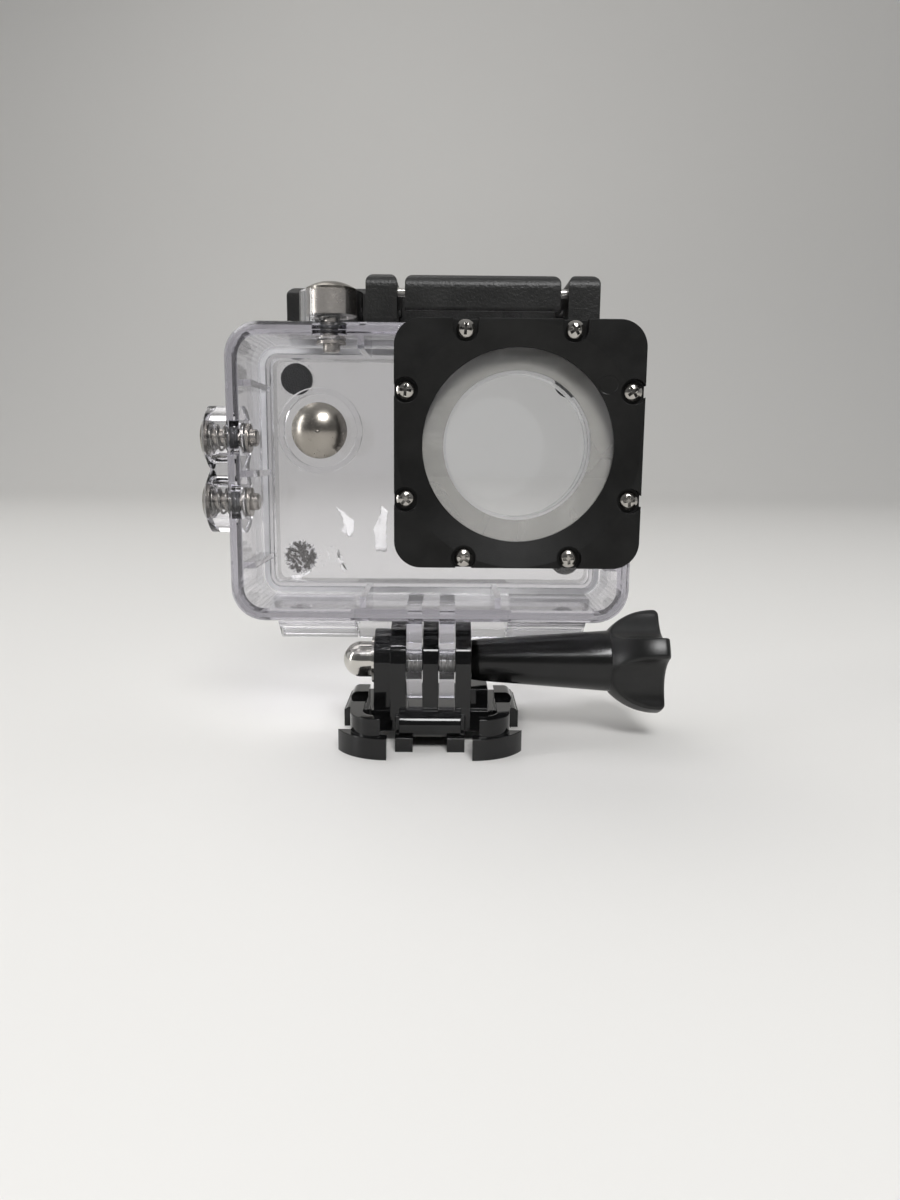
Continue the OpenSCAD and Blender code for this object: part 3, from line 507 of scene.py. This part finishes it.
def flare_radius(x, top_r):
    """The grip's outline at a distance x from the stem: one arc, tangent where the end's edge begins."""
    fall = max(0.0, GRIP_LENGTH - END_EDGE - x)
    return top_r - FLARE_R + math.sqrt(FLARE_R ** 2 - fall ** 2)


def end_edge(x):
    """How far the rounded end has drawn in at a distance x from the stem."""
    past = min(END_EDGE, max(0.0, x - GRIP_LENGTH + END_EDGE))
    return END_EDGE - math.sqrt(END_EDGE ** 2 - past ** 2)


def flute_distance(angle, top_r):
    """How far the flutes let the knob reach at an angle round its axis."""
    centre = top_r + FLUTE_R - FLUTE_DEPTH
    step = 2 * math.pi / LOBES
    off = (angle - KNOB_TURN) % step - step / 2
    reach = FLUTE_R ** 2 - (centre * math.sin(off)) ** 2
    if reach <= 0:
        return 2 * top_r
    return centre * math.cos(off) - math.sqrt(reach)


def make_knob(material):
    """Tapered stem and flared four-lobed grip, one moulding."""
    low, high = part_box("thumb_knob")
    top_r = (high.y - low.y) / 2
    stem_r0, stem_r1 = 3.9 * MM, 5.8 * MM
    stem_steps, grip_steps, edge_steps, end_rings = 14, 40, 9, 6
    bore_r, face_edge, side_edge = 2.6 * MM, 0.3 * MM, 0.1 * MM
    stem_length, stem_growth = GRIP_X - low.x, stem_r1 - stem_r0
    stations = [(low.x, bore_r), (low.x, stem_r0 - face_edge), (low.x + side_edge, stem_r0 - side_edge)]
    stations += [(low.x + stem_length * i / stem_steps, stem_r0 + stem_growth * i / stem_steps)
                 for i in range(1, stem_steps)]
    stations += [(GRIP_X - 0.15 * MM, stem_r1)]
    stations += [(GRIP_X + (GRIP_LENGTH - END_EDGE) * (i / grip_steps) ** 1.2, None)
                 for i in range(grip_steps)]
    stations += [(high.x - END_EDGE * (1 - math.sin(math.pi / 2 * i / edge_steps)), None)
                 for i in range(edge_steps + 1)]
    vertices = []
    for x, radius in stations:
        for j in range(KNOB_SIDES):
            angle = 2 * math.pi * j / KNOB_SIDES
            r = radius
            if r is None:
                flare = max(stem_r1, flare_radius(x - GRIP_X, top_r))
                r = soft_min(flare, flute_distance(angle, top_r), CREASE) - end_edge(x - GRIP_X)
            vertices.append((x, -r * math.cos(angle), AXIS_Z + r * math.sin(angle)))
    rings = len(stations)
    last = (rings - 1) * KNOB_SIDES
    for k in range(end_rings - 1, 0, -1):
        for j in range(KNOB_SIDES):
            _, y, z = vertices[last + j]
            share = k / end_rings
            vertices.append((high.x, y * share, AXIS_Z + (z - AXIS_Z) * share))
    vertices.append((high.x, 0, AXIS_Z))
    total = rings + end_rings - 1
    faces = ring_faces(total, KNOB_SIDES)[:-1]
    last = (total - 1) * KNOB_SIDES
    faces += [(last + j, last + (j + 1) % KNOB_SIDES, len(vertices) - 1) for j in range(KNOB_SIDES)]
    piece = new_mesh("thumb_knob_moulded", vertices, faces, material)
    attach(piece, "thumb_screw")
    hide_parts("thumb_knob")


def make_bolt(material):
    """The steel bolt with its rolled M5 thread."""
    low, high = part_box("thumb_bolt")
    radius = (high.z - low.z) / 2
    thread_pitch, thread_depth = 0.8 * MM, 0.42 * MM
    sides, rings_per_pitch = 36, 8
    slope, crest = 1.3, 0.15
    rings = int((high.x - low.x) / thread_pitch * rings_per_pitch)
    vertices = []
    for i in range(rings + 1):
        x = low.x + (high.x - low.x) * i / rings
        for j in range(sides):
            phase = ((x - low.x) / thread_pitch + j / sides) % 1
            groove = abs(2 * phase - 1)
            r = radius - thread_depth * max(0.0, min(1.0, slope * groove - crest))
            angle = 2 * math.pi * j / sides
            vertices.append((x, r * math.cos(angle), AXIS_Z + r * math.sin(angle)))
    piece = new_mesh("thumb_bolt_threaded", vertices, ring_faces(rings + 1, sides), material)
    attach(piece, "thumb_screw")
    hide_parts("thumb_bolt")


# ---------------------------------------------------------------- springs

BUTTONS = {"power": (0, 1, 0), "shutter": (0, 0, -1), "up": (1, 0, 0), "down": (1, 0, 0)}


def make_spring(button, press, material):
    """Round-wire coil with flat closed ends."""
    node = button + "_spring"
    low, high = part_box(node)
    inward = Vector(press)
    outward = -inward
    axis = [i for i in range(3) if abs(inward[i]) > 0.5][0]
    length = (high - low)[axis]
    wire = 0.22 * MM
    turns, closed_turns, per_turn, sides = 4.6, 0.7, 28, 10
    across = [i for i in range(3) if i != axis]
    coil_r = max((high - low)[i] for i in across) / 2 - wire
    base = middle(node) + inward * (length / 2)
    side = Vector([1 if i == across[0] else 0 for i in range(3)])
    up = outward.cross(side)
    rings = int(turns * per_turn)
    vertices = []
    for i in range(rings + 1):
        turn = turns * i / rings
        climb = max(0.0, min(1.0, (turn - closed_turns) / (turns - 2 * closed_turns)))
        angle = 2 * math.pi * turn
        radial = side * math.cos(angle) + up * math.sin(angle)
        centre = base + radial * coil_r + outward * (wire + (length - 2 * wire) * climb)
        for j in range(sides):
            a = 2 * math.pi * j / sides
            vertices.append(centre + radial * (wire * math.cos(a)) + outward * (wire * math.sin(a)))
    piece = new_mesh(button + "_coil", vertices, ring_faces(rings + 1, sides), material)
    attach(piece, "housing")
    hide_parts(node)
    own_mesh(piece)


# ---------------------------------------------------------------- what is stuck to the door

def outline(points, ragged):
    """A torn outline: straight runs between the points, roughened sideways."""
    steps = 7
    result = []
    for (x0, z0), (x1, z1) in zip(points, points[1:] + points[:1]):
        run = Vector((x1 - x0, z1 - z0))
        normal = Vector((-run.y, run.x)).normalized()
        for i in range(steps):
            t = i / steps
            push = ragged * (random.random() - 0.5) if i else 0
            result.append((x0 + run.x * t + normal.x * push, z0 + run.y * t + normal.y * push))
    return result


def make_scrap(name, points, material, ragged, thickness=0.09 * MM, curl=0.25 * MM):
    """Torn scrap lying on the door's inner face, its rim lifted by up to curl."""
    rim = [(x * MM, z * MM) for x, z in outline(points, ragged)]
    mid_x = sum(x for x, _ in rim) / len(rim)
    mid_z = sum(z for _, z in rim) / len(rim)
    rings, waves, gap = 5, 600, 0.02 * MM
    vertices = []
    for side in (0, 1):
        for k in range(1, rings + 1):
            share = k / rings
            for x, z in rim:
                wave = noise.noise(Vector((x * waves, z * waves, 3.0)))
                lift = curl * share ** 3 * (0.5 + 0.5 * wave)
                y = PANEL_Y - gap - lift - thickness * side
                vertices.append((mid_x + (x - mid_x) * share, y, mid_z + (z - mid_z) * share))
    count = len(rim)
    faces = []
    for side in (0, 1):
        start = side * rings * count
        faces.append(tuple(start + j for j in range(count)))
        for k in range(rings - 1):
            for j in range(count):
                a, b = start + k * count, start + (k + 1) * count
                m = (j + 1) % count
                faces.append((a + j, a + m, b + m, b + j))
    a, b = (rings - 1) * count, (2 * rings - 1) * count
    faces += [(a + j, a + (j + 1) % count, b + (j + 1) % count, b + j) for j in range(count)]
    piece = new_mesh(name, vertices, faces, material)
    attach(piece, "rear_door")


CRUMBS = 150
LUMPS_PER_METRE = 4000
RESIDUE_RADIUS_MM = 3.25
GLUE_RADIUS_MM = 3.6


def make_residue(torn, glue):
    """What is left of the fourth pad: crumbs of foam in a film of dried glue."""
    centre = middle("pad_residue")
    radius = size("pad_residue").x / 2
    bm = bmesh.new()
    for _ in range(CRUMBS):
        reach = radius * math.sqrt(random.random()) * 0.93
        angle = random.uniform(0, 2 * math.pi)
        grain = random.uniform(0.10, 0.34) * MM
        x, z = centre.x + reach * math.cos(angle), centre.z + reach * math.sin(angle)
        spot = Vector((x, PANEL_Y - 0.09 * MM, z))
        turn = Euler((0, random.uniform(0, 6.28), 0)).to_matrix().to_4x4()
        flat = Matrix.Diagonal((random.uniform(1.0, 3.2), 0.35, random.uniform(0.6, 1.2), 1))
        place = Matrix.Translation(spot) @ turn @ flat
        made = bmesh.ops.create_icosphere(bm, subdivisions=2, radius=grain, matrix=place)
        for v in made["verts"]:
            v.co += 0.3 * grain * noise.noise_vector(v.co * LUMPS_PER_METRE)
            v.co.y = min(v.co.y, PANEL_Y - 0.01 * MM)
    mesh = bpy.data.meshes.new("foam_crumbs")
    bm.to_mesh(mesh)
    bm.free()
    mesh.materials.append(torn)
    piece = bpy.data.objects.new("foam_crumbs", mesh)
    scene.collection.objects.link(piece)
    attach(piece, "rear_door")
    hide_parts("pad_residue")
    rim = round_scrap(centre, RESIDUE_RADIUS_MM)
    make_scrap("residue_film", rim, glue, thickness=0.04 * MM, ragged=0.9, curl=0.0)


def round_scrap(centre, radius):
    """Corner points, in millimetres, of a round scrap about a place; the radius is in millimetres too."""
    count = 14
    corners = [2 * math.pi * i / count for i in range(count)]
    return [(centre.x / MM + radius * math.cos(a), centre.z / MM + radius * math.sin(a)) for a in corners]


def make_leftovers(materials):
    """The fourth pad's residue, two scraps of a blank label, and glue drawn out where they were torn off.

    The outlines are listed as (x, z) in millimetres on the door's inner face.
    """
    make_residue(materials["torn"], materials["film"])
    upper = [(-19.0, 43.0), (-17.6, 42.0), (-15.5, 40.1), (-15.6, 38.6), (-16.3, 37.0),
             (-17.5, 37.9), (-18.2, 38.2), (-17.4, 38.8), (-17.6, 39.8), (-18.1, 41.5)]
    lower = [(-10.3, 43.3), (-9.0, 42.5), (-9.1, 39.5), (-9.2, 34.2), (-11.3, 34.1),
             (-11.4, 36.2), (-11.8, 38.6), (-10.8, 40.5), (-10.2, 42.3)]
    rim = [(-28.4, 29.3), (-26.1, 29.5), (-24.3, 30.7), (-23.9, 30.3), (-25.6, 29.1),
           (-26.5, 28.6), (-28.3, 28.9)]
    smear = [(-18.9, 34.6), (-18.2, 33.4), (-17.6, 31.2), (-17.2, 30.2), (-17.9, 30.1),
             (-18.3, 31.6), (-19.0, 33.4)]
    spill = [(-22.0, 35.3), (-19.6, 35.8), (-18.6, 34.2), (-18.9, 32.0), (-20.6, 30.9),
             (-22.4, 31.4), (-22.8, 33.4)]
    paper_white, glue, haze = materials["paper"], materials["glue"], materials["haze"]
    make_scrap("label_scrap_upper", upper, paper_white, ragged=0.35)
    make_scrap("label_scrap_lower", lower, paper_white, ragged=0.35, curl=0.12 * MM)
    make_scrap("glue_rim", rim, glue, thickness=0.12 * MM, ragged=0.4, curl=0.1 * MM)
    make_scrap("glue_smear", smear, glue, thickness=0.02 * MM, ragged=0.5, curl=0.0)
    make_scrap("glue_spill", spill, haze, thickness=0.03 * MM, ragged=0.8, curl=0.0)
    low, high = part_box("door_pads")
    pad_r = 2.95 * MM
    around_pad = round_scrap(Vector((low.x + pad_r, 0, high.z - pad_r)), GLUE_RADIUS_MM)
    make_scrap("pad_glue", around_pad, haze, thickness=0.03 * MM, ragged=0.5, curl=0.0)


# ---------------------------------------------------------------- stage, light and camera

WORLD_FRONT = 0.12
WORLD_BACK = 0.75
WORLD_SEEN = 0.62
STAGE_COLOUR = (0.75, 0.74, 0.72)
STAGE_ROUGHNESS = 0.5


def make_stage(material):
    """Pale floor that curves up into a backdrop."""
    half, front, bend, height, bend_r = 3.0, -2.0, 0.9, 2.2, 0.5
    profile = [(front, 0.0), (bend, 0.0)]
    steps = 12
    turns = [math.pi / 2 * i / steps for i in range(1, steps + 1)]
    profile += [(bend + bend_r * math.sin(a), bend_r * (1 - math.cos(a))) for a in turns]
    profile.append((bend + bend_r, height))
    vertices = [(x, y, z) for y, z in profile for x in (-half, half)]
    faces = [(2 * i, 2 * i + 1, 2 * i + 3, 2 * i + 2) for i in range(len(profile) - 1)]
    floor = new_mesh("studio_floor", vertices, faces, material)


def area_light(name, place, target, width, height, power, colour=(1, 1, 1)):
    """Rectangular lamp that faces a target; sizes in metres, power in watts."""
    data = bpy.data.lights.new(name, "AREA")
    data.shape = "RECTANGLE"
    data.size = width
    data.size_y = height
    data.energy = power
    data.color = colour
    lamp = bpy.data.objects.new(name, data)
    lamp.location = place
    lamp.rotation_euler = (Vector(target) - Vector(place)).to_track_quat("-Z", "Y").to_euler()
    scene.collection.objects.link(lamp)


def paint_world():
    """Pale all round to the camera, also through clear plastic; as a light, brighter behind than in front."""
    world = bpy.data.worlds.new("studio")
    scene.world = world
    world.use_nodes = True
    tree = world.node_tree
    tree.nodes.clear()
    coords = tree.nodes.new("ShaderNodeTexCoord")
    split = tree.nodes.new("ShaderNodeSeparateXYZ")
    tree.links.new(coords.outputs["Generated"], split.inputs["Vector"])
    depth = tree.nodes.new("ShaderNodeMapRange")
    ends = {"From Min": -0.8, "From Max": 0.5, "To Min": WORLD_FRONT, "To Max": WORLD_BACK}
    for key, value in ends.items():
        depth.inputs[key].default_value = value
    tree.links.new(split.outputs["Y"], depth.inputs["Value"])
    path = tree.nodes.new("ShaderNodeLightPath")
    seen = tree.nodes.new("ShaderNodeMath")
    seen.operation = "MAXIMUM"
    tree.links.new(path.outputs["Is Camera Ray"], seen.inputs[0])
    tree.links.new(path.outputs["Is Transmission Ray"], seen.inputs[1])
    strength = tree.nodes.new("ShaderNodeMix")
    strength.data_type = "FLOAT"
    tree.links.new(seen.outputs["Value"], strength.inputs["Factor"])
    tree.links.new(depth.outputs["Result"], strength.inputs[2])
    strength.inputs[3].default_value = WORLD_SEEN
    background = tree.nodes.new("ShaderNodeBackground")
    background.inputs["Color"].default_value = (0.98, 0.99, 1.0, 1)
    tree.links.new(strength.outputs[0], background.inputs["Strength"])
    output = tree.nodes.new("ShaderNodeOutputWorld")
    tree.links.new(background.outputs["Background"], output.inputs["Surface"])


def light_scene():
    """Softbox above and behind, a lamp above the camera, and a strip at the left."""
    paint_world()
    target = (0, 0, 0.045)
    area_light("key_softbox", (-0.5, 0.5, 1.25), target, 1.0, 0.7, 4.5, (1.0, 0.98, 0.95))
    area_light("front_lamp", (0.15, -0.85, 0.9), target, 0.45, 0.35, 10.5)
    area_light("left_strip", (-0.9, -0.3, 0.3), target, 0.12, 0.8, 2.6)


SENSOR_HEIGHT_MM = 36
FOCAL_LENGTH_MM = 26.355


def set_camera():
    """Camera of the reference view: 26 mm lens, at the height of the lens port and looking slightly down."""
    place = Vector((2.64, -164.2, 53.45)) * MM
    pitch, yaw, roll = math.radians(9.44), math.radians(0.30), math.radians(0.51)
    data = bpy.data.cameras.new("camera")
    data.sensor_fit = "VERTICAL"
    data.sensor_height = SENSOR_HEIGHT_MM
    data.lens = FOCAL_LENGTH_MM
    data.clip_start = 0.005
    camera = bpy.data.objects.new("camera", data)
    forward = Vector((math.sin(yaw) * math.cos(pitch), math.cos(yaw) * math.cos(pitch), -math.sin(pitch)))
    right = Vector((math.cos(yaw), -math.sin(yaw), 0))
    up = right.cross(forward)
    turned_right = right * math.cos(roll) + up * math.sin(roll)
    turned_up = up * math.cos(roll) - right * math.sin(roll)
    turned = Matrix((turned_right, turned_up, -forward)).transposed().to_4x4()
    camera.matrix_world = Matrix.Translation(place) @ turned
    scene.collection.objects.link(camera)
    scene.camera = camera


materials = make_materials()
dress_nodes(materials)
make_knob(materials["knob"])
make_bolt(materials["bolt"])
for button_name, press_axis in BUTTONS.items():
    make_spring(button_name, press_axis, materials["wire"])
make_leftovers(materials)
make_stage(stage_paint(STAGE_COLOUR, STAGE_ROUGHNESS))
light_scene()
set_camera()
scene.view_settings.view_transform = "Standard"
